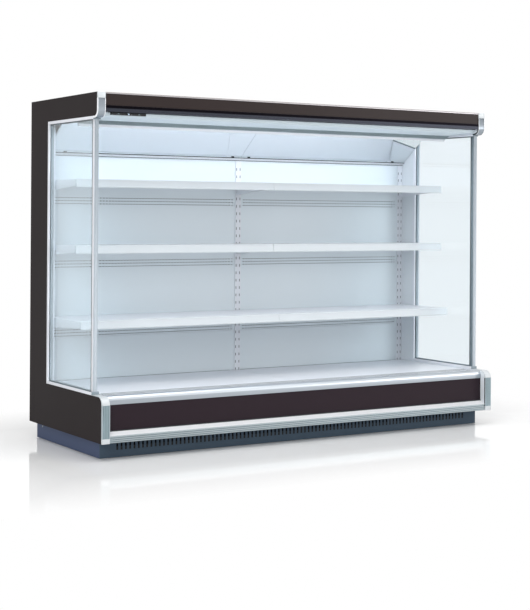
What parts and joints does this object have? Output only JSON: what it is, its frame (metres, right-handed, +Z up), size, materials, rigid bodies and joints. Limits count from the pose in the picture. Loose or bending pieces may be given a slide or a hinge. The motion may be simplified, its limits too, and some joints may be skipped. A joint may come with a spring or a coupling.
{
  "type": "open multideck display fridge",
  "caption": "Free-standing open refrigerated wall case with glazed ends, shelves in two bays, a mirror, a pull-down night blind and its own condensing unit.",
  "frame": {"origin": "on the floor under the middle of the case, at the bottom centre of its bounding box", "axes": "+X to the right end as a customer sees it, -Y the open front, +Z up"},
  "size_m": [2.6, 0.955, 1.9],
  "materials": {
    "dark_panel": "satin dark brown lacquer",
    "plum_panel": "satin dark plum lacquer",
    "kick_grey": "matt blue-grey lacquer",
    "white_steel": "gloss white lacquer",
    "pale_steel": "pale bluish white lacquer",
    "galvanised": "galvanised steel",
    "aluminium": "satin anodised",
    "dark_aluminium": "dark anodised",
    "white_cap": "gloss white",
    "white_plastic": "satin white",
    "grey_plastic": "matt grey",
    "black_plastic": "matt black",
    "copper": "bright copper tube",
    "glass": "clear tempered",
    "mirror": "silvered",
    "lamp": "opal diffuser",
    "cloth": "woven reflective cloth",
    "black_steel": "black lacquer"
  },
  "bodies": {
    "case": {"base_frame": "galvanised", "levelling_feet": "galvanised", "kick_plate_front": "kick_grey", "kick_plate_sides": "kick_grey", "rear_service_grille": "galvanised", "tank_shell": "pale_steel", "drain_outlet": "grey_plastic", "rear_wall": "pale_steel", "canopy_roof": "galvanised", "end_panel_left": "dark_panel", "end_panel_right": "dark_panel", "end_liners": "pale_steel", "window_frames": "aluminium", "side_glass": "glass", "front_posts": "aluminium", "end_trims": "aluminium", "corner_caps": "white_cap", "top_rail": "aluminium", "front_panel": "plum_panel", "bumper_rail": "aluminium", "canopy_fascia": "dark_panel", "canopy_top_trim": "aluminium", "canopy_soffit": "pale_steel", "discharge_honeycomb": "grey_plastic", "canopy_duct_panel": "white_steel", "mirrors": "mirror", "canopy_lamp": "lamp", "blind_brackets": "galvanised", "shelf_uprights": "white_steel", "rear_panels": "pale_steel", "shelf_upper": "white_steel", "shelf_middle": "white_steel", "shelf_lower": "white_steel", "shelf_brackets": "white_steel", "price_rails": "white_plastic", "deck_trays": "white_steel", "return_grilles": "white_steel", "evaporator_coil": "aluminium", "evaporator_fan_plate": "galvanised", "evaporator_fan_motors": "black_steel", "condenser_coil": "aluminium", "condenser_shroud": "galvanised", "condenser_fan_motors": "black_steel", "compressor": "black_steel", "liquid_receiver": "black_steel", "refrigerant_pipes": "copper", "evaporation_tray": "galvanised", "electrical_box": "galvanised", "control_housing": "black_plastic", "screws": "galvanised"},
    "evaporator_fan_1": {"evaporator_fan_1": "black_plastic"},
    "evaporator_fan_2": {"evaporator_fan_2": "black_plastic"},
    "evaporator_fan_3": {"evaporator_fan_3": "black_plastic"},
    "condenser_fan_1": {"condenser_fan_1": "black_plastic"},
    "condenser_fan_2": {"condenser_fan_2": "black_plastic"},
    "blind_roller": {"blind_roller": "cloth"},
    "set_button": {"set_button": "grey_plastic"},
    "lamp_button": {"lamp_button": "grey_plastic"},
    "blind_pull_bar": {"blind_pull_bar": "dark_aluminium", "blind_cloth": "cloth"}
  },
  "joints": [
    {"name": "evaporator_fan_1_spin", "type": "hinge", "parent": "case", "child": "evaporator_fan_1", "pos_m": [-0.76, -0.0675, 0.25], "axis": [0, 0.5547, 0.8321], "continuous": true},
    {"name": "evaporator_fan_2_spin", "type": "hinge", "parent": "case", "child": "evaporator_fan_2", "pos_m": [0, -0.0675, 0.25], "axis": [0, 0.5547, 0.8321], "continuous": true},
    {"name": "evaporator_fan_3_spin", "type": "hinge", "parent": "case", "child": "evaporator_fan_3", "pos_m": [0.76, -0.0675, 0.25], "axis": [0, 0.5547, 0.8321], "continuous": true},
    {"name": "condenser_fan_1_spin", "type": "hinge", "parent": "case", "child": "condenser_fan_1", "pos_m": [-0.4485, -0.2185, 0.087], "axis": [0, -1, 0], "continuous": true},
    {"name": "condenser_fan_2_spin", "type": "hinge", "parent": "case", "child": "condenser_fan_2", "pos_m": [-0.1685, -0.2185, 0.087], "axis": [0, -1, 0], "continuous": true},
    {"name": "blind_pull", "type": "slide", "parent": "case", "child": "blind_pull_bar", "axis": [0, 0, -1], "range_m": [0, 1.464], "deforming": ["blind_cloth"]},
    {"name": "blind_roll", "type": "hinge", "parent": "case", "child": "blind_roller", "pos_m": [0, -0.3585, 1.826], "axis": [1, 0, 0], "range_deg": [-1, 3497]},
    {"name": "set_button_press", "type": "slide", "parent": "case", "child": "set_button", "axis": [0, 1, 0], "range_m": [0, 0.0008], "stiffness_N_per_m": 500, "springref_m": -0.0006},
    {"name": "lamp_button_press", "type": "slide", "parent": "case", "child": "lamp_button", "axis": [0, 1, 0], "range_m": [0, 0.0008], "stiffness_N_per_m": 500, "springref_m": -0.0006}
  ],
  "couplings": [
    {"joint": "blind_roll", "follows": "blind_pull", "rad_per_m": 41.667}
  ]
}
